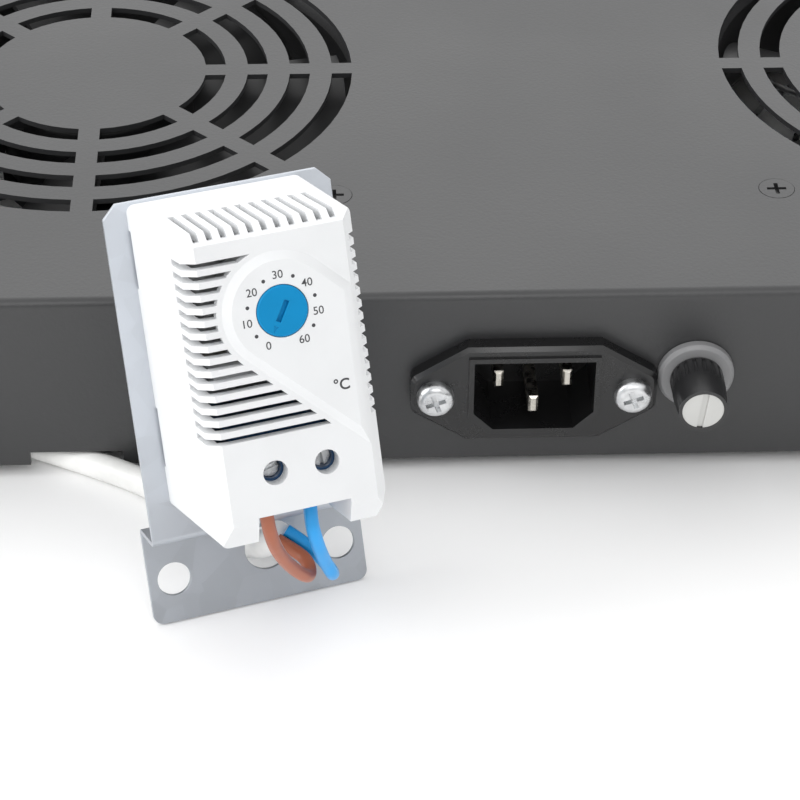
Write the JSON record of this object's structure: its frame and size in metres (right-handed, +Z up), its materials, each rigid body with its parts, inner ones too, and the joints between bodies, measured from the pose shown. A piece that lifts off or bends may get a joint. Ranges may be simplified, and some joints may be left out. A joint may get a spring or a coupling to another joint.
{
  "type": "rack fan tray",
  "caption": "Low black rack tray with round slotted fan grilles, a recessed mains inlet and fuse holder in its rear wall, and a white enclosure thermostat on a bracket, joined by a cable.",
  "frame": {"origin": "middle of the foot of the bounding box, on the plane the tray stands on", "axes": "+Y from the rear wall to the rack front, +X to the right when the rear wall is looked at, +Z up"},
  "size_m": [0.4826, 0.2568, 0.0951],
  "materials": {
    "black_paint": "powder coat, fine texture",
    "panel_paint": "powder coat, fine texture",
    "black_screw": "black oxide",
    "zinc": "bright zinc plate",
    "galvanised": "galvanised sheet",
    "fan_frame": "black die casting",
    "rotor_plastic": "moulded, fine grain",
    "inlet_plastic": "moulded, satin",
    "brass_pins": "nickelled brass",
    "fuse_grey": "moulded, satin",
    "fuse_black": "moulded, satin",
    "cap_disc": "pale moulding",
    "spring_bronze": "bright",
    "fuse_glass": "clear",
    "terminal_white": "natural nylon",
    "case_white": "moulded, fine grain",
    "dial_blue": "moulded",
    "terminal_blue": "moulded",
    "bimetal": "rolled strip",
    "cable_white": "soft vinyl",
    "brown_vinyl": "soft vinyl",
    "blue_vinyl": "soft vinyl"
  },
  "bodies": {
    "tray": {"tray_body": "black_paint", "front_panel": "panel_paint", "panel_screws": "black_screw", "panel_nuts": "zinc", "fan_frame_left": "fan_frame", "fan_frame_right": "fan_frame", "fan_guard_left": "zinc", "fan_guard_right": "zinc", "fan_screws_left": "black_screw", "fan_screws_right": "black_screw", "fan_nuts_left": "zinc", "fan_nuts_right": "zinc", "inlet_body": "inlet_plastic", "inlet_pins": "brass_pins", "inlet_screws": "zinc", "inlet_nuts": "zinc", "fuse_holder_body": "fuse_grey", "fuse_holder_nut": "fuse_black", "terminal_strip": "terminal_white", "terminal_strip_screws": "zinc", "cable_clip": "inlet_plastic", "clip_screw": "zinc", "earth_stud": "zinc", "earth_nut": "zinc", "thermostat_bracket": "galvanised", "thermostat_base": "case_white", "thermostat_cover": "case_white", "switch_frame": "case_white", "bimetal_strip": "bimetal", "contact_spring": "spring_bronze", "terminal_block": "terminal_blue", "terminal_screws": "zinc", "base_screws": "zinc", "thermostat_cable": "cable_white", "brown_conductor": "brown_vinyl", "blue_conductor": "blue_vinyl"},
    "left_rotor": {"fan_rotor_left": "rotor_plastic"},
    "right_rotor": {"fan_rotor_right": "rotor_plastic"},
    "dial": {"thermostat_dial": "dial_blue"},
    "fuse_carrier": {"fuse_clip": "spring_bronze", "fuse_glass": "fuse_glass", "fuse_end_caps": "zinc"},
    "fuse_cap": {"fuse_cap": "fuse_black", "fuse_cap_disc": "cap_disc"}
  },
  "joints": [
    {"name": "left_fan_spin", "type": "hinge", "parent": "tray", "child": "left_rotor", "pos_m": [-0.099, 0.03732, 0.03], "axis": [0, 0, 1], "continuous": true},
    {"name": "right_fan_spin", "type": "hinge", "parent": "tray", "child": "right_rotor", "pos_m": [0.099, 0.03732, 0.03], "axis": [0, 0, 1], "continuous": true},
    {"name": "dial_turn", "type": "hinge", "parent": "tray", "child": "dial", "pos_m": [-0.05875, -0.10484, 0.07934], "axis": [-0.2788, 0.8843, -0.3746], "range_deg": [0, 300]},
    {"name": "fuse_withdraw", "type": "slide", "parent": "tray", "child": "fuse_carrier", "axis": [0, -1, 0], "range_m": [0, 0.03]},
    {"name": "fuse_cap_turn", "type": "hinge", "parent": "fuse_carrier", "child": "fuse_cap", "pos_m": [0.026, -0.05768, 0.0242], "axis": [0, 1, 0], "range_deg": [0, 45]}
  ]
}
